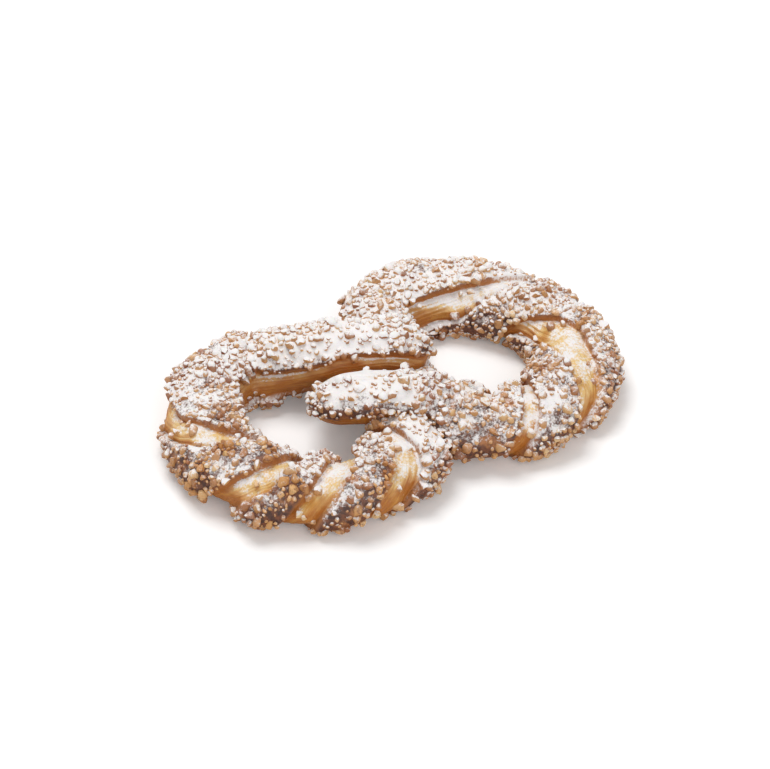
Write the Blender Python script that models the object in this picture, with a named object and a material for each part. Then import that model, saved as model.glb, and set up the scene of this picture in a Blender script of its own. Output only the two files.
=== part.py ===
"""A sweet twisted pretzel: one rope of dough, rolled with a chopped-nut topping, twisted, and laid as a
figure of eight whose two ends rest side by side on the middle strand.

Units are metres, +Z is up. The origin is at the centre of the underside's bounding box, and +X runs along
the figure of eight, from the loop of the first end to the loop of the second.
"""

import math

import bmesh
import bpy
import numpy as np

MM = 0.001

# Driving sizes
ROPE_WIDTH = 32.5 * MM
ROPE_HEIGHT = 25.5 * MM
MIDDLE_HEIGHT = 20.0 * MM  # the strand that the two ends press on
TRAY_SINK = 1.7 * MM  # how far the soft dough flattens on the tray
CROSSING_LIFT = 12.5 * MM  # how far an end climbs on the middle strand
CLIMB_LENGTH = 62.0 * MM  # rope between an end's highest point and the tray
TIP_LENGTH = 13.0 * MM  # an end's rounded tip
TIP_DROOP = 3.0 * MM

# Each loop is a ring with a stretch along one direction and a slight three-cornered skew.
# Angles are in degrees, anticlockwise from +X, and run from the first end to the second.
FIRST_LOOP = dict(centre=(-37.0, -3.5), radius=37.5, stretch=0.125, along=111.0, skew=0.035,
                  skew_at=-38.0, start=86.0, stop=320.0)
SECOND_LOOP = dict(centre=(38.5, -6.0), radius=38.5, stretch=0.075, along=109.0, skew=0.015,
                   skew_at=-9.0, start=108.0, stop=-124.0)
LOOP_POINTS = 10
FIRST_END = ((23.0, -0.5), (5.0, 10.0), (-9.5, 21.0))  # from the tip towards its loop
MIDDLE = ((7.0, -10.0), (12.5, 15.0))
SECOND_END = ((9.0, -26.0), (0.5, -21.5), (-13.0, -13.5), (-31.0, 1.0))  # from its loop to the tip

# The twist: where the first topped band starts round the rope, in degrees from its right-hand side,
# at shares of the rope's length. The ends are nearly straight and the loops are twisted unevenly.
TWIST = ((0.0, 24.0), (0.12, 28.0), (0.19, 40.0), (0.215, 55.0), (0.25, 120.0), (0.30, 290.0),
         (0.34, 460.0), (0.39, 650.0), (0.42, 755.0), (0.44, 890.0), (0.55, 1262.0), (0.61, 1280.0),
         (0.645, 1305.0), (0.665, 1365.0), (0.70, 1475.0), (0.74, 1530.0), (0.79, 1580.0),
         (0.82, 1660.0), (0.85, 1800.0), (0.88, 1862.0), (0.91, 1842.0), (1.0, 1835.0))
TWIST_EASE = 0.015  # share of the rope's length over which the rate of twist changes
BANDS = 2  # topped bands round the rope
TOPPED_SHARE = 0.68  # of each band's span, the rest being bare dough
BAND_RELIEF = 1.1 * MM  # topped bands stand this far out, and bare ones this far in
RELIEF_BELOW = 0.2  # share of the relief left on the side that was pressed on the tray
EDGE_SHARE = 0.09

MIDDLE_AT = 0.5  # share of the rope's length
MIDDLE_REACH = 0.09
TIP_SLIMNESS = 0.86

STATIONS = 149
ROUND_POINTS = 27
TIP_RINGS = 5
CURVE_SAMPLES = 24
TRAY_SIZE = 300 * MM
TRAY_DEPTH = 20 * MM


def ring_points(centre, radius, stretch, along, skew, skew_at, start, stop):
    """Points of a loop in the plan, in millimetres."""
    points = []
    for angle in np.linspace(start, stop, LOOP_POINTS):
        longer = stretch * math.cos(math.radians(2 * (angle - along)))
        corners = skew * math.cos(math.radians(3 * (angle - skew_at)))
        reach = radius * (1 + longer + corners)
        points.append((centre[0] + reach * math.cos(math.radians(angle)),
                       centre[1] + reach * math.sin(math.radians(angle))))
    return points


def smooth_line(points):
    """A Catmull-Rom curve through the points."""
    points = np.array(points, float)
    ends = [2 * points[0] - points[1]], [2 * points[-1] - points[-2]]
    p = np.vstack([ends[0], points, ends[1]])
    t = np.linspace(0, 1, CURVE_SAMPLES, endpoint=False)[:, None]
    spans = []
    for a, b, c, d in zip(p, p[1:], p[2:], p[3:]):
        spans.append(0.5 * (2 * b + (c - a) * t + (2 * a - 5 * b + 4 * c - d) * t**2
                            + (3 * b - a - 3 * c + d) * t**3))
    return np.vstack([*spans, points[-1:]])


def smoothstep(x):
    x = np.clip(x, 0, 1)
    return x * x * (3 - 2 * x)


def blend(low, high, share):
    return low + (high - low) * share


def resample(line, count):
    """Points at even steps along a line, with the rounded tips' rings closer together, and each one's
    distance from the first tip."""
    travelled = np.concatenate([[0], np.cumsum(np.linalg.norm(np.diff(line, axis=0), axis=1))])
    length = travelled[-1]
    tip = TIP_LENGTH * (1 - np.cos(np.linspace(0, math.pi / 2, TIP_RINGS, endpoint=False)))
    body = np.linspace(TIP_LENGTH, length - TIP_LENGTH, count - 2 * TIP_RINGS)
    along = np.concatenate([tip, body, length - tip[::-1]])
    return np.column_stack([np.interp(along, travelled, line[:, i]) for i in range(2)]), along


def rope_twist(share):
    """The twist at shares of the rope's length, its rate changing smoothly."""
    shares, turns = zip(*TWIST)
    nearby = np.linspace(-TWIST_EASE, TWIST_EASE, 9)
    return np.interp(share[:, None] + nearby, shares, turns).mean(1)


def rope(count):
    """The rope's stations: centre line, distance along it, and width, height and twist at each."""
    plan = [*FIRST_END, *ring_points(**FIRST_LOOP), *MIDDLE, *ring_points(**SECOND_LOOP), *SECOND_END]
    plan, along = resample(smooth_line(plan) * MM, count)
    length = along[-1]
    from_tip = np.minimum(along, length - along)
    pressed = 1 - smoothstep(np.abs(along / length - MIDDLE_AT) / MIDDLE_REACH)
    height = blend(ROPE_HEIGHT, MIDDLE_HEIGHT, pressed)
    climb = 1 - smoothstep((from_tip - TIP_LENGTH) / CLIMB_LENGTH)
    droop = TIP_DROOP * (1 - smoothstep(from_tip / (2 * TIP_LENGTH)))
    lift = CROSSING_LIFT * climb - droop
    centre = np.column_stack([plan, height / 2 - TRAY_SINK + lift])
    rounding = np.sqrt(1 - (1 - np.minimum(from_tip / TIP_LENGTH, 1)) ** 2)
    slim = blend(TIP_SLIMNESS, 1, smoothstep(from_tip / CLIMB_LENGTH))
    width = ROPE_WIDTH * rounding * slim
    return centre, along, width, height * rounding * slim, rope_twist(along / length)


def directions(centre):
    """The rope's right-hand side and upward directions at each station."""
    forward = np.gradient(centre, axis=0)
    side = np.column_stack([forward[:, 1], -forward[:, 0], np.zeros(len(forward))])
    side /= np.linalg.norm(side, axis=1)[:, None]
    up = np.cross(side, forward)
    up /= np.linalg.norm(up, axis=1)[:, None]
    return side, up


def topped(angle, twist):
    """1 on the topped bands and 0 on the bare ones, with a soft edge."""
    turn = (angle - twist) * BANDS / 360
    centre = TOPPED_SHARE / 2
    away = np.abs((turn - centre + 0.5) % 1 - 0.5)
    return smoothstep(0.5 + (centre - away) / EDGE_SHARE)


def rope_surface(count, around):
    """Rings of points on the dough, one ring at each station."""
    centre, along, width, height, twist = rope(count)
    side, up = directions(centre)
    angle = np.linspace(0, 360, around, endpoint=False)
    band = topped(angle[None, :], twist[:, None])
    rounding = np.minimum(1, width / ROPE_WIDTH)[:, None]
    below = np.clip(-np.sin(np.radians(angle)), 0, 1) ** 2
    relief = BAND_RELIEF * (2 * band - 1) * rounding * blend(1, RELIEF_BELOW, below)
    out_side = (width[:, None] / 2 + relief) * np.cos(np.radians(angle))
    out_up = (height[:, None] / 2 + relief) * np.sin(np.radians(angle))
    rings = centre[:, None] + side[:, None] * out_side[..., None] + up[:, None] * out_up[..., None]
    low, high = rings.min((0, 1)), rings.max((0, 1))
    return rings - [*((low + high)[:2] / 2), 0]


# --- Blender ---


def clear_scene():
    for obj in list(bpy.data.objects):
        bpy.data.objects.remove(obj)


def new_collection(name):
    collection = bpy.data.collections.new(name)
    bpy.context.scene.collection.children.link(collection)
    return collection


def dough_material():
    material = bpy.data.materials.new("baked_dough")
    material.use_nodes = True
    shader = material.node_tree.nodes["Principled BSDF"]
    shader.inputs["Base Color"].default_value = (0.52, 0.29, 0.11, 1)
    shader.inputs["Roughness"].default_value = 0.62
    shader.inputs["Metallic"].default_value = 0.0
    return material


def tray(collection):
    """The block that cuts the underside flat."""
    bpy.ops.mesh.primitive_cube_add(size=1, location=(0, 0, -TRAY_DEPTH / 2))
    cutter = bpy.context.object
    cutter.name = "tray"
    cutter.dimensions = (TRAY_SIZE, TRAY_SIZE, TRAY_DEPTH)
    bpy.ops.object.transform_apply(location=False, rotation=False, scale=True)
    for old in list(cutter.users_collection):
        old.objects.unlink(cutter)
    collection.objects.link(cutter)
    cutter.hide_render = True
    cutter.display_type = "WIRE"
    return cutter


def rope_mesh(rings):
    """A closed skin over the rings, the first and last of which are the tips."""
    mesh = bmesh.new()
    first = mesh.verts.new(rings[0, 0])
    last = mesh.verts.new(rings[-1, 0])
    loops = [[mesh.verts.new(point) for point in ring] for ring in rings[1:-1]]
    around = len(loops[0])
    for i in range(around):
        j = (i + 1) % around
        mesh.faces.new((first, loops[0][j], loops[0][i]))
        mesh.faces.new((last, loops[-1][i], loops[-1][j]))
        for here, there in zip(loops, loops[1:]):
            mesh.faces.new((here[i], here[j], there[j], there[i]))
    bmesh.ops.recalc_face_normals(mesh, faces=mesh.faces)
    data = bpy.data.meshes.new("pretzel")
    mesh.to_mesh(data)
    mesh.free()
    return data


def pretzel(collection, cutter):
    obj = bpy.data.objects.new("pretzel", rope_mesh(rope_surface(STATIONS, ROUND_POINTS)))
    collection.objects.link(obj)
    obj.data.materials.append(dough_material())
    obj.data.shade_smooth()
    join = obj.modifiers.new("flat underside and joined strands", "BOOLEAN")
    join.operation = "DIFFERENCE"
    join.object = cutter
    join.use_self = True
    return obj


clear_scene()
pretzel(new_collection("twisted_pretzel"), tray(new_collection("cutters")))
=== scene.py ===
"""Looks of the sweet twisted pretzel: dough, chopped nuts, crumbs and icing sugar, on a pale floor."""
import math

import bmesh
import bpy
import numpy as np
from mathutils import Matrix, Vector


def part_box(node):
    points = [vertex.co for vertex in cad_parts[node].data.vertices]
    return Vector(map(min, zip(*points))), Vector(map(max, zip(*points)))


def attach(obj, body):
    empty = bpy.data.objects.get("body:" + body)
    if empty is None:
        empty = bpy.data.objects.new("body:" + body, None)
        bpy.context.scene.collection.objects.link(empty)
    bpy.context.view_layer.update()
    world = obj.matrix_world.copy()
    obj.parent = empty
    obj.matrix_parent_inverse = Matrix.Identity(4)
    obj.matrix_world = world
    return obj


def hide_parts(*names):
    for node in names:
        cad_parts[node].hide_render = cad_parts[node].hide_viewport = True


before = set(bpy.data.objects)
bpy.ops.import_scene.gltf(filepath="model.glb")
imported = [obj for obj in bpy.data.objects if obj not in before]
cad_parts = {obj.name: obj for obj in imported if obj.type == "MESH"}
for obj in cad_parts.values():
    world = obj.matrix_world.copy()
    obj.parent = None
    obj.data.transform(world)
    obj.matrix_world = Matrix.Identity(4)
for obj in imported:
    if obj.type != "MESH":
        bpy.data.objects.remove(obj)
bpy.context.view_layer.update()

MM = 0.001
rng = np.random.default_rng(7)

# --- The rope's route and section ---
# As in the CAD model, apart from the first loop, the second end, the tips' droop and the twist.

ROPE_WIDTH = 32.5 * MM
ROPE_HEIGHT = 25.5 * MM
MIDDLE_HEIGHT = 20.0 * MM
TRAY_SINK = 1.7 * MM
CROSSING_LIFT = 12.5 * MM
CLIMB_LENGTH = 62.0 * MM
TIP_LENGTH = 13.0 * MM
TIP_DROOP = 5.0 * MM

FIRST_LOOP = dict(centre=(-36.0, -1.9), radius=35.9, stretch=0.125, along=111.0, skew=0.035,
                  skew_at=-38.0, start=86.0, stop=320.0)
SECOND_LOOP = dict(centre=(38.5, -6.0), radius=38.5, stretch=0.075, along=109.0, skew=0.015,
                   skew_at=-9.0, start=108.0, stop=-124.0)
LOOP_POINTS = 10
FIRST_END = ((23.0, -0.5), (5.0, 10.0), (-9.5, 21.0))
MIDDLE = ((7.0, -10.0), (12.5, 15.0))
SECOND_END = ((9.6, -25.4), (1.8, -19.9), (-11.4, -11.3), (-29.2, 3.2))

TWIST = ((0.0, 22.0), (0.04, 25.0), (0.065, 34.0), (0.09, 37.0), (0.107, 30.0), (0.13, 16.0), (0.17, 24.0),
         (0.19, 36.0), (0.215, 55.0), (0.25, 122.0), (0.30, 310.0), (0.335, 480.0), (0.36, 560.0),
         (0.395, 655.0), (0.418, 755.0), (0.436, 895.0), (0.55, 1280.0), (0.583, 1308.0), (0.61, 1316.0),
         (0.645, 1328.0), (0.665, 1365.0), (0.70, 1475.0), (0.74, 1530.0), (0.79, 1580.0),
         (0.82, 1660.0), (0.845, 1784.0), (0.857, 1860.0), (0.87, 1898.0), (0.89, 1888.0),
         (0.905, 1874.0), (0.93, 1882.0), (0.96, 1898.0), (1.0, 1902.0))
TWIST_EASE = 0.010
BANDS = 2
TOPPED_SHARE = 0.68
MIDDLE_AT = 0.5
MIDDLE_REACH = 0.09
TIP_SLIMNESS = 0.86
CURVE_SAMPLES = 24
CAD_STATIONS = 149
CAD_ROUND_POINTS = 27

# --- Detail of the visual model ---

SLIMMER = 5.8 * MM  # the dough alone is this much narrower and lower than the solid, which holds the nuts too
STANDS_HIGHER = 0.9 * MM  # the slim dough's centre line over the height that would keep its underside

# places along the rope, in millimetres
THINNER_AT = 165.0
WIDE_BAND_AT = 118.0
NARROW_BANDS_AT = 172.0
SHORT_GAP_AT = 358.0
SECOND_END_FROM = 455.0

STATIONS = 740
ROUND_POINTS = 126
TIP_RINGS = 16


def ring_points(centre, radius, stretch, along, skew, skew_at, start, stop):
    """Points of a loop in the plan, in millimetres."""
    points = []
    for angle in np.linspace(start, stop, LOOP_POINTS):
        longer = stretch * math.cos(math.radians(2 * (angle - along)))
        corners = skew * math.cos(math.radians(3 * (angle - skew_at)))
        reach = radius * (1 + longer + corners)
        points.append((centre[0] + reach * math.cos(math.radians(angle)),
                       centre[1] + reach * math.sin(math.radians(angle))))
    return points


def smooth_line(points):
    """A Catmull-Rom curve through the points."""
    points = np.array(points, float)
    ends = [2 * points[0] - points[1]], [2 * points[-1] - points[-2]]
    p = np.vstack([ends[0], points, ends[1]])
    t = np.linspace(0, 1, CURVE_SAMPLES, endpoint=False)[:, None]
    spans = []
    for a, b, c, d in zip(p, p[1:], p[2:], p[3:]):
        spans.append(0.5 * (2 * b + (c - a) * t + (2 * a - 5 * b + 4 * c - d) * t**2
                            + (3 * b - a - 3 * c + d) * t**3))
    return np.vstack([*spans, points[-1:]])


def smoothstep(x):
    x = np.clip(x, 0, 1)
    return x * x * (3 - 2 * x)


def blend(low, high, share):
    return low + (high - low) * share


def bump(x):
    """A smooth hump: 1 at 0 and nearly 0 past 2 either way."""
    return np.exp(-x * x)


def resample(line, count, tip_rings):
    """Points at even steps along a line, closer together at its tips, and each one's distance along."""
    travelled = np.concatenate([[0], np.cumsum(np.linalg.norm(np.diff(line, axis=0), axis=1))])
    length = travelled[-1]
    tip = TIP_LENGTH * (1 - np.cos(np.linspace(0, math.pi / 2, tip_rings, endpoint=False)))
    body = np.linspace(TIP_LENGTH, length - TIP_LENGTH, count - 2 * tip_rings)
    along = np.concatenate([tip, body, length - tip[::-1]])
    return np.column_stack([np.interp(along, travelled, line[:, i]) for i in range(2)]), along


def rope_twist(share):
    """Where the first topped band starts round the rope, in degrees, at shares of its length."""
    shares, turns = zip(*TWIST)
    nearby = np.linspace(-TWIST_EASE, TWIST_EASE, 9)
    return np.interp(share[:, None] + nearby, shares, turns).mean(1)


def rope(count, tip_rings):
    """The rope's stations: centre line, distance along it, and width, height and twist at each."""
    plan = [*FIRST_END, *ring_points(**FIRST_LOOP), *MIDDLE, *ring_points(**SECOND_LOOP), *SECOND_END]
    plan, along = resample(smooth_line(plan) * MM, count, tip_rings)
    length = along[-1]
    from_tip = np.minimum(along, length - along)
    pressed = 1 - smoothstep(np.abs(along / length - MIDDLE_AT) / MIDDLE_REACH)
    height = blend(ROPE_HEIGHT, MIDDLE_HEIGHT, pressed)
    climb = 1 - smoothstep((from_tip - TIP_LENGTH) / CLIMB_LENGTH)
    droop = TIP_DROOP * (1 - smoothstep(from_tip / (2.6 * TIP_LENGTH)))
    lift = CROSSING_LIFT * climb - droop
    centre = np.column_stack([plan, height / 2 - TRAY_SINK + lift])
    rounding = np.sqrt(1 - (1 - np.minimum(from_tip / TIP_LENGTH, 1)) ** 2)
    slim = blend(TIP_SLIMNESS, 1, smoothstep(from_tip / CLIMB_LENGTH))
    width = ROPE_WIDTH * rounding * slim
    return centre, along, width, height * rounding * slim, rope_twist(along / length)


def directions(centre):
    """The rope's right-hand side and upward directions at each station."""
    forward = np.gradient(centre, axis=0)
    side = np.column_stack([forward[:, 1], -forward[:, 0], np.zeros(len(forward))])
    side /= np.linalg.norm(side, axis=1)[:, None]
    up = np.cross(side, forward)
    up /= np.linalg.norm(up, axis=1)[:, None]
    return side, up


def elliptic_rings(centre, width, height, angle):
    side, up = directions(centre)
    out_side = (width[:, None] / 2) * np.cos(np.radians(angle))
    out_up = (height[:, None] / 2) * np.sin(np.radians(angle))
    return centre[:, None] + side[:, None] * out_side[..., None] + up[:, None] * out_up[..., None]


# --- Noise ---


def lattice_noise(points, size, seed):
    """Smooth noise from -1 to 1 at points in metres, with features of a size in millimetres."""
    p = points / (size * MM)
    cell = np.floor(p).astype(np.int64)
    f = p - cell
    f = f * f * (3 - 2 * f)
    total = np.zeros(p.shape[:-1])
    for corner in range(8):
        offset = np.array([corner & 1, corner >> 1 & 1, corner >> 2 & 1])
        c = cell + offset
        h = (c[..., 0] * 73856093) ^ (c[..., 1] * 19349663) ^ (c[..., 2] * 83492791) ^ (seed * 2654435761)
        h = (h ^ (h >> 13)) * 1274126177 & 0x7FFFFFFF
        h = (h ^ (h >> 16)) & 0xFFFF
        value = h / 32767.5 - 1
        weight = np.prod(np.where(offset, f, 1 - f), axis=-1)
        total += value * weight
    return total


def rough_noise(points, size, seed, layers=3):
    """Noise with finer layers, each half the size and half the height."""
    total = 0
    for layer in range(layers):
        total = total + lattice_noise(points, size / 2**layer, seed + layer) / 2**layer
    return total / (2 - 2 ** (1 - layers))


# --- Dough ---


class Rope:
    """The rope's surface as a grid of stations by points round it, with what the materials need."""

    def __init__(self):
        coarse = elliptic_rings(*rope(CAD_STATIONS, 5)[0:1], *rope(CAD_STATIONS, 5)[2:4],
                                np.linspace(0, 360, CAD_ROUND_POINTS, endpoint=False))
        middle = (coarse.min((0, 1)) + coarse.max((0, 1))) / 2
        centre, along, width, height, twist = rope(STATIONS, TIP_RINGS)
        box_low, box_high = (np.array(c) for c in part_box("pretzel"))
        centre = centre - [*(middle[:2]), 0] + [*((box_low + box_high)[:2] / 2), box_low[2]]
        centre = centre - [0, 0, SLIMMER / 2 - STANDS_HIGHER]
        thinner = 1 - 0.05 * bump((along / MM - THINNER_AT) / 45)
        width = width * (1 - SLIMMER / ROPE_WIDTH) * thinner
        height = height * (1 - SLIMMER / ROPE_HEIGHT) * thinner
        self.centre, self.along, self.width, self.height = centre, along, width, height
        angle = np.linspace(0, 360, ROUND_POINTS, endpoint=False)
        self.angle = angle
        base = elliptic_rings(centre, width, height, angle)
        self.base = base
        # how quickly the bands pass, across the surface
        turn = (angle[None, :] - twist[:, None]) * BANDS / 360
        perimeter = np.pi * (1.5 * (width + height) / 2 - np.sqrt(width * height) / 2)
        perimeter = np.maximum(perimeter, 0.5 * perimeter.max())
        rate_round = BANDS / perimeter
        rate_along = np.abs(np.gradient(twist, along)) * BANDS / 360
        rate = np.hypot(rate_round, rate_along)[:, None] * MM  # bands per millimetre across the band
        wander = 0.030 * lattice_noise(base, 17, 11) + 0.022 * rough_noise(base, 5, 12)
        u = (turn + wander) % 1
        share = TOPPED_SHARE - 0.05 + 0.10 * bump((along / MM - WIDE_BAND_AT) / 14)
        share = share + 0.16 * bump((along / MM - SHORT_GAP_AT) / 12)
        share = share - 0.16 * bump((along / MM - NARROW_BANDS_AT) / 28)
        share = share - 0.22 * smoothstep((along / MM - SECOND_END_FROM) / 20)
        share = share[:, None] + 0.04 * lattice_noise(base, 15, 14)
        inside = np.where(u < share, np.minimum(u, share - u), -np.minimum(u - share, 1 - u))
        self.edge = inside / rate  # millimetres in from a topped band's edge, negative on bare dough
        self.across = (u - share) % 1 / rate
        bare_half = (1 - share) / 2 / rate
        topped_half = share / 2 / rate
        self.topped = smoothstep(self.edge / 0.9 + 0.5)
        self.normal = self.grid_normals(base)
        tip = np.minimum(1, width / ROPE_WIDTH)[:, None]
        below = np.clip(-np.sin(np.radians(angle)), 0, 1)[None, :] ** 2
        relief = tip * blend(1, 0.25, below)

        swell = 0.8 * lattice_noise(base, 22, 21) + 0.5 * lattice_noise(base, 9, 22)
        crown = 1 - (1 - np.clip(self.edge / topped_half, 0, 1)) ** 2
        crust = 0.9 + 1.8 * crown + 0.4 * bump((self.edge - 0.9) / 1.0)
        crust = crust + 0.45 * rough_noise(base, 4.2, 31) + 0.25 * rough_noise(base, 1.9, 35)
        puff = 1 - np.clip(-self.edge / bare_half, 0, 1)
        bare = -1.9 + 1.6 * (1 - puff**2)
        fold_wander = 2.2 * lattice_noise(base, 16, 41) + 0.9 * lattice_noise(base, 6, 44)
        fold = np.sin(self.across * 3.1 + fold_wander)
        folds = fold * (0.6 + 0.6 * lattice_noise(base, 8, 42))
        bare = bare + 0.20 * folds + 0.12 * rough_noise(base, 3, 43)
        self.out = swell * blend(1, 0.3, below) + blend(bare, crust, self.topped) * relief
        self.relief = relief
        self.shape()

    def shape(self):
        """The surface from how far out each point stands, its browned lips leaning over the bare dough."""
        surface = self.base + self.normal * (self.out * MM)[..., None]
        ragged = 0.8 + 0.5 * lattice_noise(self.base, 3, 46)
        lean = 0.95 * ragged * bump((self.edge - 0.5) / 0.8) * self.relief
        surface = surface - self.uphill(self.edge) * (lean * MM)[..., None]
        surface[..., 2] = self.on_tray(surface[..., 2])
        self.surface = surface
        self.detail_normal = self.grid_normals(surface)

    def bank_up(self, i, j, radii, height, reach):
        """Raises the dough and its crust round lumps that sit in it."""
        for row, column, radius in zip(i, j, radii):
            span = max(2, int(math.ceil(2.2 * reach * radius / (0.7 * MM))))
            rows = np.arange(max(row - span, 0), min(row + span + 1, STATIONS))
            columns = np.arange(column - span, column + span + 1) % ROUND_POINTS
            patch = np.ix_(rows, columns)
            away = np.linalg.norm(self.base[patch] - self.base[row, column], axis=-1)
            self.out[patch] += height * (radius / MM) * bump(away / (reach * radius))

    def grid_normals(self, grid):
        du = np.gradient(grid, axis=0)
        dv = np.roll(grid, -1, 1) - np.roll(grid, 1, 1)
        normal = np.cross(dv, du)
        normal /= np.linalg.norm(normal, axis=2)[..., None] + 1e-12
        outward = np.einsum("ijk,ijk->ij", normal, grid - self.centre[:, None])
        return normal * np.where(outward.mean() < 0, -1, 1)

    def uphill(self, field):
        """Unit vectors on the surface towards larger values of a field."""
        du = np.gradient(self.base, axis=0)
        dv = (np.roll(self.base, -1, 1) - np.roll(self.base, 1, 1)) / 2
        fu = np.gradient(field, axis=0)
        fv = (np.roll(field, -1, 1) - np.roll(field, 1, 1)) / 2
        lu = np.einsum("ijk,ijk->ij", du, du) + 1e-12
        lv = np.einsum("ijk,ijk->ij", dv, dv) + 1e-12
        slope = du * (fu / lu)[..., None] + dv * (fv / lv)[..., None]
        return slope / (np.linalg.norm(slope, axis=2)[..., None] + 1e-9)

    @staticmethod
    def on_tray(z):
        """Heights with the underside pressed flat, meeting the side in a small round."""
        soft = 0.6 * MM
        return np.where(z > soft, z, np.where(z < -soft, 0, (z + soft) ** 2 / (4 * soft)))

    def buried(self, points, own, margin):
        """Whether points lie inside another strand than their own, whose station is given."""
        hidden = np.zeros(len(points), bool)
        step = 6
        for i in range(0, STATIONS, step):
            far = np.abs(self.along[i] - own) > SAME_STRAND
            flat = np.hypot(points[:, 0] - self.centre[i, 0], points[:, 1] - self.centre[i, 1])
            tall = points[:, 2] - self.centre[i, 2]
            w = self.width[i] / 2 + margin
            h = self.height[i] / 2 + margin
            hidden |= far & (flat**2 / w**2 + tall**2 / h**2 < 1)
        return hidden


def new_piece(name, verts, faces, material, attributes, sharpest=None):
    """A smoothly shaded mesh object. Edges that turn past an angle in degrees, where given, stay sharp."""
    mesh = bpy.data.meshes.new(name)
    mesh.from_pydata(verts, [], faces)
    for key, values in attributes.items():
        layer = mesh.attributes.new(key, "FLOAT", "POINT")
        layer.data.foreach_set("value", np.ascontiguousarray(values, np.float32).ravel())
    mesh.shade_smooth()
    if sharpest is not None:
        mesh.set_sharp_from_angle(angle=math.radians(sharpest))
    obj = bpy.data.objects.new(name, mesh)
    bpy.context.scene.collection.objects.link(obj)
    mesh.materials.append(material)
    return obj


def sugar_fall(rope_model):
    """How thickly the icing sugar fell, 0 to 1: most where the strands cross and on the far side."""
    p = rope_model.surface
    crossing = bump(np.hypot(p[..., 0] - 0.000, p[..., 1] - 0.004) / 0.042)
    first_end = bump(np.hypot(p[..., 0] + 0.025, p[..., 1] - 0.028) / 0.034)
    second_top = bump(np.hypot(p[..., 0] - 0.040, p[..., 1] - 0.034) / 0.036)
    near = smoothstep((-p[..., 1] * 0.8 - p[..., 0] * 0.6 - 0.02) / 0.05)
    fall = 0.56 + 0.34 * crossing + 0.40 * first_end + 0.18 * second_top - 0.05 * near
    fall = fall + 0.26 * lattice_noise(p, 11, 51) + 0.28 * lattice_noise(p, 4.5, 52)
    return np.clip(fall, 0, 1)


def dough_piece(r, material):
    """The dough's surface as one closed mesh, its tips closed by fans of triangles."""
    inner = r.surface[1:-1]
    count = len(inner)
    verts = np.vstack([r.surface[0].mean(0), inner.reshape(-1, 3), r.surface[-1].mean(0)])
    last = len(verts) - 1
    ids = 1 + np.arange(count * ROUND_POINTS).reshape(count, ROUND_POINTS)
    across = np.roll(ids, -1, 1)
    quads = np.stack([ids[:-1], ids[1:], across[1:], across[:-1]], -1).reshape(-1, 4)
    faces = quads.tolist()
    faces += [(0, a, b) for a, b in zip(ids[0].tolist(), across[0].tolist())]
    faces += [(last, b, a) for a, b in zip(ids[-1].tolist(), across[-1].tolist())]

    def per_vertex(field):
        return np.concatenate([[field[0].mean()], field[1:-1].ravel(), [field[-1].mean()]])

    fields = dict(topped=r.topped, edge=r.edge, across=r.across, fall=sugar_fall(r))
    obj = new_piece("dough", verts.tolist(), faces, material,
                    {key: per_vertex(value) for key, value in fields.items()})
    bm = bmesh.new()
    bm.from_mesh(obj.data)
    bmesh.ops.recalc_face_normals(bm, faces=bm.faces)
    bm.to_mesh(obj.data)
    bm.free()
    return obj


# --- Nuts and crumbs ---

NUTS = dict(tries=16000, median=3.9, spread=0.22, smallest=2.5, largest=5.6, spacing=0.58, limit=1500)
CRUMBS = dict(tries=16000, median=1.7, spread=0.26, smallest=1.1, largest=2.5, spacing=0.60, limit=1600)
NUT_SINK = 0.50  # the share of a lump's width that lies below the crust
CRUMB_SINK = 0.46
LUMP_CORNER = 42.0
LOWEST_LUMP = 2.2 * MM
SAME_STRAND = 38 * MM


def lump_shapes(kinds, level, cuts, roughness):
    """Unit lumps, each a ball with cut faces, as vertices and the faces that they share."""
    bm = bmesh.new()
    bmesh.ops.create_icosphere(bm, subdivisions=level, radius=1)
    ball = np.array([v.co[:] for v in bm.verts])
    faces = np.array([[v.index for v in f.verts] for f in bm.faces])
    bm.free()
    shapes = []
    for _ in range(kinds):
        lump = ball * (1 + roughness * rng.normal(size=(len(ball), 1)))
        for _ in range(cuts):
            facing = rng.normal(size=3)
            facing /= np.linalg.norm(facing)
            depth = rng.uniform(0.42, 0.8)
            over = np.maximum(lump @ facing - depth, 0)
            lump = lump - over[:, None] * facing * 0.95
        lump = lump * rng.uniform([0.8, 0.75, 0.65], [1.15, 1.05, 0.95])
        shapes.append(lump)
    return shapes, faces


def spin(count):
    """Random rotations."""
    q = rng.normal(size=(count, 4))
    q /= np.linalg.norm(q, axis=1)[:, None]
    w, x, y, z = q.T
    return np.stack([np.stack([1 - 2 * (y*y + z*z), 2 * (x*y - z*w), 2 * (x*z + y*w)], -1),
                     np.stack([2 * (x*y + z*w), 1 - 2 * (x*x + z*z), 2 * (y*z - x*w)], -1),
                     np.stack([2 * (x*z - y*w), 2 * (y*z + x*w), 1 - 2 * (x*x + y*y)], -1)], 1)


def crowded(grid, home, place, radius, spacing):
    """Whether a lump comes too near one that is already in the grid of cells."""
    steps = (-1, 0, 1)
    for cell in ((home[0] + x, home[1] + y, home[2] + z) for x in steps for y in steps for z in steps):
        for other, other_radius in grid.get(cell, ()):
            gap = (radius + other_radius) * spacing
            apart = (place[0] - other[0])**2 + (place[1] - other[1])**2 + (place[2] - other[2])**2
            if apart < gap * gap:
                return True
    return False


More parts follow.
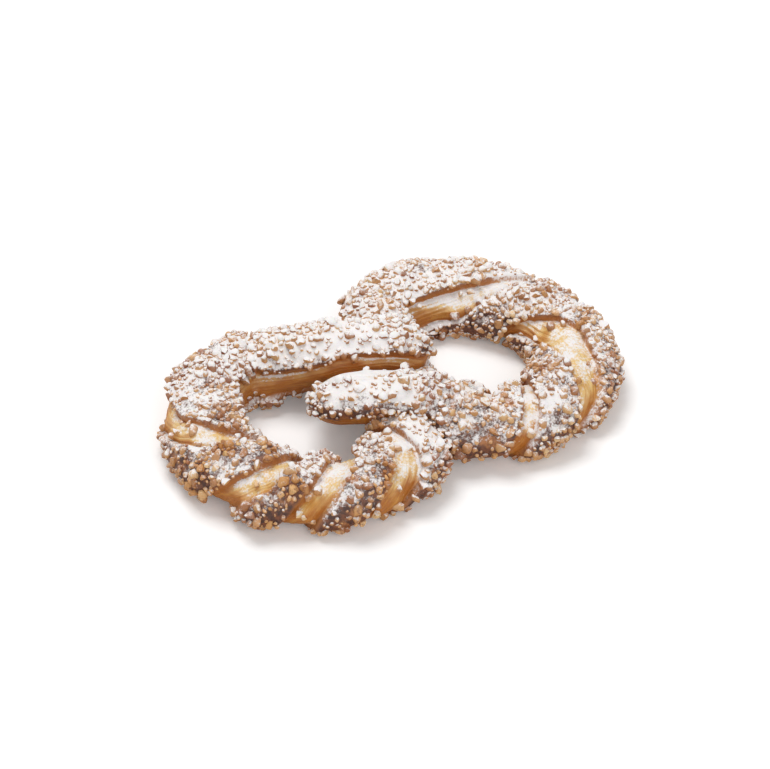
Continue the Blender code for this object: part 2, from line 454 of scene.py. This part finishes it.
def scatter(r, weight, tries, median, spread, smallest, largest, spacing, limit, avoid=()):
    """Places on the rope for lumps: station and angle indices, radii. No two come too close."""
    area = np.maximum(r.width, 1e-4)[:, None] * np.ones(ROUND_POINTS)
    share = (weight * area).ravel()
    share = share / share.sum()
    picks = rng.choice(len(share), size=tries, p=share)
    i, j = np.divmod(picks, ROUND_POINTS)
    points = r.surface[i, j]
    radii = np.clip(rng.lognormal(math.log(median), spread, tries), smallest, largest) * MM / 2
    keep_out = r.buried(points, r.along[i], 0.3 * MM) | (points[:, 2] < LOWEST_LUMP)
    cell = 3.2 * MM
    grid = {}
    for point, radius in avoid:
        grid.setdefault(tuple((point // cell).astype(int)), []).append((point, radius))
    chosen = []
    for k in np.flatnonzero(~keep_out):
        home = tuple((points[k] // cell).astype(int))
        if crowded(grid, home, points[k], radii[k], spacing):
            continue
        grid.setdefault(home, []).append((points[k], radii[k]))
        chosen.append(k)
        if len(chosen) >= limit:
            break
    chosen = np.array(chosen)
    return i[chosen], j[chosen], radii[chosen]


def lumps_piece(name, r, i, j, radii, shapes, faces, sink, material, fall):
    """One mesh of all the lumps of a kind, turned at random and sunk in the crust."""
    count = len(i)
    turn = spin(count)
    kinds = rng.integers(len(shapes), size=count)
    size = len(shapes[0])
    local = np.array(shapes)[kinds] * radii[:, None, None]
    local = np.einsum("nij,nvj->nvi", turn, local)
    at = r.surface[i, j] + r.normal[i, j] * (radii * (1 - 2 * sink))[:, None]
    verts = local + at[:, None]
    verts[..., 2] = np.maximum(verts[..., 2], 0.1 * MM)
    all_faces = (faces[None] + (np.arange(count) * size)[:, None, None]).reshape(-1, 3)
    tone = rng.uniform(0, 1, count) * 0.75 + 0.25 * lattice_noise(r.base[i, j], 13, 71)
    tone = np.repeat(np.clip(tone + 0.1, 0, 1), size)
    dust = np.repeat(fall[i, j] * rng.uniform(0.65, 1.4, count), size)
    return new_piece(name, verts.reshape(-1, 3).tolist(), all_faces.tolist(), material,
                     dict(tone=tone, fall=dust), sharpest=LUMP_CORNER)


# --- Materials ---


def rgb(red, green, blue):
    """A colour written as 0 to 255 values, as the linear colour the shaders take."""
    out = []
    for value in (red, green, blue):
        v = value / 255
        out.append(v / 12.92 if v <= 0.04045 else ((v + 0.055) / 1.055) ** 2.4)
    return (*out, 1)


class Nodes:
    """A material's node tree, with short ways to add what the food materials use."""

    def __init__(self, name):
        self.material = bpy.data.materials.new(name)
        self.material.use_nodes = True
        self.tree = self.material.node_tree
        self.shader = self.tree.nodes["Principled BSDF"]
        self.place = self.add("ShaderNodeTexCoord").outputs["Object"]

    def add(self, kind, **settings):
        node = self.tree.nodes.new(kind)
        for key, value in settings.items():
            setattr(node, key, value)
        return node

    def feed(self, socket, value):
        if isinstance(value, bpy.types.NodeSocket):
            self.tree.links.new(value, socket)
        else:
            socket.default_value = value

    def attribute(self, name):
        return self.add("ShaderNodeAttribute", attribute_name=name).outputs["Fac"]

    def noise(self, size, detail=3.0, rough=0.55, at=None):
        """Noise from 0 to 1 with features of a size in millimetres."""
        node = self.add("ShaderNodeTexNoise")
        self.feed(node.inputs["Vector"], at or self.place)
        node.inputs["Scale"].default_value = 1000 / size
        node.inputs["Detail"].default_value = detail
        node.inputs["Roughness"].default_value = rough
        return node.outputs["Fac"]

    def math(self, operation, a, b=0.0, clamp=False):
        node = self.add("ShaderNodeMath", operation=operation, use_clamp=clamp)
        self.feed(node.inputs[0], a)
        self.feed(node.inputs[1], b)
        return node.outputs[0]

    def ramp(self, value, low, high, to_low=0.0, to_high=1.0):
        node = self.add("ShaderNodeMapRange", interpolation_type="SMOOTHSTEP")
        self.feed(node.inputs["Value"], value)
        node.inputs["From Min"].default_value = low
        node.inputs["From Max"].default_value = high
        node.inputs["To Min"].default_value = to_low
        node.inputs["To Max"].default_value = to_high
        return node.outputs["Result"]

    def mix(self, share, a, b):
        node = self.add("ShaderNodeMix", data_type="RGBA")
        self.feed(node.inputs[0], share)
        self.feed(node.inputs[6], a)
        self.feed(node.inputs[7], b)
        return node.outputs[2]

    def upward(self):
        """The surface's upward tilt, 1 facing up and -1 facing down."""
        split = self.add("ShaderNodeSeparateXYZ")
        self.feed(split.inputs[0], self.add("ShaderNodeNewGeometry").outputs["Normal"])
        return split.outputs["Z"]

    def bump(self, height, distance, strength=1.0, under=None):
        node = self.add("ShaderNodeBump")
        node.inputs["Strength"].default_value = strength
        node.inputs["Distance"].default_value = distance * MM
        self.feed(node.inputs["Height"], height)
        if under is not None:
            self.feed(node.inputs["Normal"], under)
        return node.outputs["Normal"]


def icing_cover(n, fall, start, grain, film):
    """The share of icing sugar on a surface: thick on what faces up, speckled where it thins out.

    It starts at an upward tilt. Grain scales the speckle, and film is the most that lies between grains.
    """
    speckle = n.math("ADD", n.math("MULTIPLY", n.noise(0.8 * grain, 2.0, 0.6), 0.55),
                     n.math("MULTIPLY", n.noise(2.6 * grain, 3.0, 0.6), 0.45))
    amount = n.math("MULTIPLY", n.ramp(n.upward(), start, 0.95), fall)
    amount = n.math("ADD", amount, n.math("MULTIPLY", n.math("SUBTRACT", speckle, 0.5), 2.0))
    grains = n.ramp(amount, 0.22, 0.72)
    film = n.math("MULTIPLY", n.ramp(n.upward(), start - 0.3, 0.7, 0.0, film), n.ramp(fall, 0.15, 0.7))
    return n.math("MAXIMUM", grains, film)


SUGAR = rgb(246, 243, 242)


def dough_material():
    n = Nodes("baked_dough_looks")
    topped = n.attribute("topped")
    edge = n.attribute("edge")
    across = n.attribute("across")

    # bare dough: painted shade makes it pale where it faces up and golden to brown as it turns away from up;
    # it is really browned along its edges and streaked by its layers
    strands = n.add("ShaderNodeCombineXYZ")
    n.feed(strands.inputs[0], n.math("ADD", n.math("MULTIPLY", across, 2.2 * MM),
                                     n.math("MULTIPLY", n.noise(9, 2.0), 3.0 * MM)))
    n.feed(strands.inputs[1], n.math("MULTIPLY", n.noise(18, 1.0), 4.0 * MM))
    layers = n.noise(1.7, 2.0, 0.6, strands.outputs[0])
    # painted shade: the less the bare dough faces up, the more golden and brown it is painted; the edge and
    # layer terms below are real browning
    shade_and_browning = n.ramp(n.upward(), 0.95, 0.25, -0.05, 0.85)
    shade_and_browning = n.math("ADD", shade_and_browning, n.ramp(edge, -2.4, -0.2, 0.0, 0.5))
    shade_and_browning = n.math("ADD", shade_and_browning, n.math("MULTIPLY", n.math("SUBTRACT", layers, 0.5), 1.3))
    shade_and_browning = n.math("ADD", shade_and_browning, n.math("MULTIPLY", n.math("SUBTRACT", n.noise(7), 0.5), 1.2), clamp=True)
    bare = n.mix(n.ramp(shade_and_browning, 0.0, 0.45), rgb(232, 194, 122), rgb(208, 146, 62))
    bare = n.mix(n.ramp(shade_and_browning, 0.45, 1.0), bare, rgb(184, 110, 32))

    # topped crust: dark where the filling baked on, with caramel patches
    dark = n.mix(n.ramp(n.noise(2.4, 4.0, 0.65), 0.38, 0.64), rgb(66, 30, 16), rgb(126, 70, 36))
    dark = n.mix(n.ramp(n.noise(6.5, 3.0), 0.54, 0.70), dark, rgb(178, 114, 60))
    lip = n.mix(n.noise(3, 3.0), rgb(136, 74, 34), rgb(186, 122, 62))
    dark = n.mix(n.ramp(edge, 1.2, 0.1), dark, lip)
    dough = n.mix(topped, bare, dark)

    # the side that lay on the tray is evenly browned
    dough = n.mix(n.ramp(n.upward(), -0.45, -0.9), dough, rgb(156, 94, 40))

    fall = n.math("SUBTRACT", n.attribute("fall"), n.ramp(edge, -0.2, -1.6, 0.0, 0.10))
    on_crust = n.math("MULTIPLY", icing_cover(n, fall, 0.02, 1.1, 0.05), topped)
    on_bare = n.math("MULTIPLY", icing_cover(n, fall, 0.48, 1.1, 0.10), n.math("SUBTRACT", 1.0, topped))
    cover = n.math("ADD", on_crust, on_bare)
    n.feed(n.shader.inputs["Base Color"], n.mix(cover, dough, SUGAR))
    gloss = n.math("ADD", n.math("MULTIPLY", cover, 0.40), 0.42)
    n.feed(n.shader.inputs["Roughness"], n.math("ADD", gloss, n.math("MULTIPLY", n.noise(4), 0.12)))
    grain = n.bump(n.noise(0.8, 3.0, 0.65), 0.30, 0.9)
    bare_layers = n.math("MULTIPLY", layers, n.math("SUBTRACT", 1.0, topped))
    n.feed(n.shader.inputs["Normal"], n.bump(bare_layers, 0.6, 0.9, grain))
    n.shader.inputs["Subsurface Weight"].default_value = 0.06
    n.shader.inputs["Subsurface Radius"].default_value = (0.004, 0.002, 0.001)
    n.shader.inputs["Subsurface Scale"].default_value = 1.0
    return n.material


def nut_material():
    n = Nodes("chopped_nuts")
    tone = n.attribute("tone")
    nut = n.mix(n.ramp(tone, 0.0, 0.55), rgb(156, 90, 42), rgb(206, 150, 88))
    nut = n.mix(n.ramp(tone, 0.6, 1.0), nut, rgb(232, 192, 136))
    nut = n.mix(n.ramp(n.noise(1.3, 3.0), 0.50, 0.75), nut, rgb(140, 84, 50))
    cover = icing_cover(n, n.attribute("fall"), 0.02, 1.0, 0.16)
    n.feed(n.shader.inputs["Base Color"], n.mix(cover, nut, SUGAR))
    n.feed(n.shader.inputs["Roughness"], n.math("ADD", n.math("MULTIPLY", cover, 0.35), 0.45))
    n.feed(n.shader.inputs["Normal"], n.bump(n.noise(0.9, 3.0, 0.6), 0.25, 0.8))
    n.shader.inputs["Subsurface Weight"].default_value = 0.08
    n.shader.inputs["Subsurface Radius"].default_value = (0.003, 0.0015, 0.0008)
    n.shader.inputs["Subsurface Scale"].default_value = 1.0
    return n.material


def crumb_material():
    n = Nodes("topping_crumbs")
    tone = n.attribute("tone")
    crumb = n.mix(n.ramp(tone, 0.0, 0.7), rgb(164, 100, 54), rgb(222, 168, 106))
    cover = icing_cover(n, n.attribute("fall"), -0.05, 0.8, 0.16)
    n.feed(n.shader.inputs["Base Color"], n.mix(cover, crumb, SUGAR))
    n.feed(n.shader.inputs["Roughness"], n.math("ADD", n.math("MULTIPLY", cover, 0.35), 0.5))
    n.feed(n.shader.inputs["Normal"], n.bump(n.noise(0.5), 0.12, 0.7))
    return n.material


FLOOR_LIFT = 0.14  # what the floor lacks of white, added for the camera only


def floor_material():
    n = Nodes("pale_floor")
    n.shader.inputs["Base Color"].default_value = rgb(250, 250, 250)
    n.shader.inputs["Roughness"].default_value = 0.9
    n.shader.inputs["Specular IOR Level"].default_value = 0.1
    n.shader.inputs["Emission Color"].default_value = (1, 1, 1, 1)
    path = n.add("ShaderNodeLightPath")
    lift = n.math("MULTIPLY", path.outputs["Is Camera Ray"], FLOOR_LIFT)
    n.feed(n.shader.inputs["Emission Strength"], lift)
    return n.material


# --- Stage ---


def floor():
    mesh = bpy.data.meshes.new("floor")
    reach = 6.0
    mesh.from_pydata([(-reach, -reach, 0), (reach, -reach, 0), (reach, reach, 0), (-reach, reach, 0)], [],
                     [(0, 1, 2, 3)])
    obj = bpy.data.objects.new("floor", mesh)
    bpy.context.scene.collection.objects.link(obj)
    mesh.materials.append(floor_material())


def aim(obj, at):
    """Turns a lamp or the camera to face a place."""
    obj.rotation_euler = (Vector(at) - obj.location).to_track_quat("-Z", "Y").to_euler()


def area_light(name, place, at, size, power):
    data = bpy.data.lights.new(name, "AREA")
    data.shape = "DISK"
    data.size = size
    data.energy = power
    obj = bpy.data.objects.new(name, data)
    obj.location = place
    bpy.context.scene.collection.objects.link(obj)
    aim(obj, at)


CAMERA_TURN = math.radians(-36.8)
CAMERA_RISE = math.radians(40)
CAMERA_AWAY = 1.14
CAMERA_TARGET = (0.0076, 0.0136, 0)


def from_camera(right, toward, up):
    """A place given along the camera's right, towards the camera along the floor, and up."""
    c, s = math.cos(CAMERA_TURN), math.sin(CAMERA_TURN)
    return Vector((right * c + toward * s, right * s - toward * c, up))


def camera():
    data = bpy.data.cameras.new("camera")
    data.lens = 36 * 3000 / 770
    data.sensor_width = 36
    data.clip_end = 50
    obj = bpy.data.objects.new("camera", data)
    back = from_camera(0, math.cos(CAMERA_RISE), math.sin(CAMERA_RISE))
    obj.location = Vector(CAMERA_TARGET) + back * CAMERA_AWAY
    bpy.context.scene.collection.objects.link(obj)
    aim(obj, CAMERA_TARGET)
    bpy.context.scene.camera = obj


def white_behind():
    """A white backdrop for the camera, and a soft pale light from all round for everything else."""
    world = bpy.data.worlds.new("studio")
    world.use_nodes = True
    tree = world.node_tree
    ground = tree.nodes["Background"]
    ground.inputs["Color"].default_value = (1, 1, 1, 1)
    path = tree.nodes.new("ShaderNodeLightPath")
    seen = tree.nodes.new("ShaderNodeMath")
    seen.operation = "MAXIMUM"
    tree.links.new(path.outputs["Is Camera Ray"], seen.inputs[0])
    tree.links.new(path.outputs["Is Glossy Ray"], seen.inputs[1])
    level = tree.nodes.new("ShaderNodeMapRange")
    tree.links.new(seen.outputs[0], level.inputs["Value"])
    level.inputs["To Min"].default_value = AMBIENT
    level.inputs["To Max"].default_value = 1.0
    tree.links.new(level.outputs["Result"], ground.inputs["Strength"])
    bpy.context.scene.world = world


AMBIENT = 0.44  # what the studio's surround gives, where the backdrop itself is 1

# --- Build ---

r = Rope()
facing_up = np.sin(np.radians(r.angle))[None, :]
not_below = smoothstep((facing_up + 0.75) / 0.35)
clumps = smoothstep(0.45 + 1.9 * lattice_noise(r.base, 9, 61) + 0.6 * lattice_noise(r.base, 22, 62))
on_crust = smoothstep((r.edge + 0.1) / 0.7)
near_edge = bump((r.edge + 1.0) / 1.5)
nut_weight = (on_crust * (0.05 + 0.95 * clumps) + 0.006 * (1 - on_crust) + 0.02 * near_edge) * not_below
crumb_weight = on_crust * (0.3 + 0.7 * clumps) * not_below

nut_shapes, nut_faces = lump_shapes(60, 2, 8, 0.06)
crumb_shapes, crumb_faces = lump_shapes(30, 2, 4, 0.04)
nuts_at = scatter(r, nut_weight, **NUTS)
nut_places = list(zip(r.surface[nuts_at[0], nuts_at[1]], nuts_at[2]))
crumbs_at = scatter(r, crumb_weight, **CRUMBS, avoid=nut_places)
r.bank_up(*nuts_at, 0.42, 1.15)
r.bank_up(*crumbs_at, 0.35, 1.2)
r.shape()
dough = dough_piece(r, dough_material())
fall = sugar_fall(r)
nuts = lumps_piece("chopped_nuts", r, *nuts_at, nut_shapes, nut_faces, NUT_SINK, nut_material(), fall)
crumbs = lumps_piece("topping_crumbs", r, *crumbs_at, crumb_shapes, crumb_faces, CRUMB_SINK,
                     crumb_material(), fall)

for piece in (dough, nuts, crumbs):
    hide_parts("pretzel")
    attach(piece, "root")
    print(piece.name, len(piece.data.polygons), "faces")

floor()
white_behind()
area_light("overhead", from_camera(-0.35, -0.45, 1.5), (0, 0, 0), size=1.0, power=14.5)
area_light("front_fill", from_camera(0.6, 1.2, 1.0), (0, 0, 0), size=1.0, power=6)
camera()
bpy.context.scene.view_settings.view_transform = "Standard"
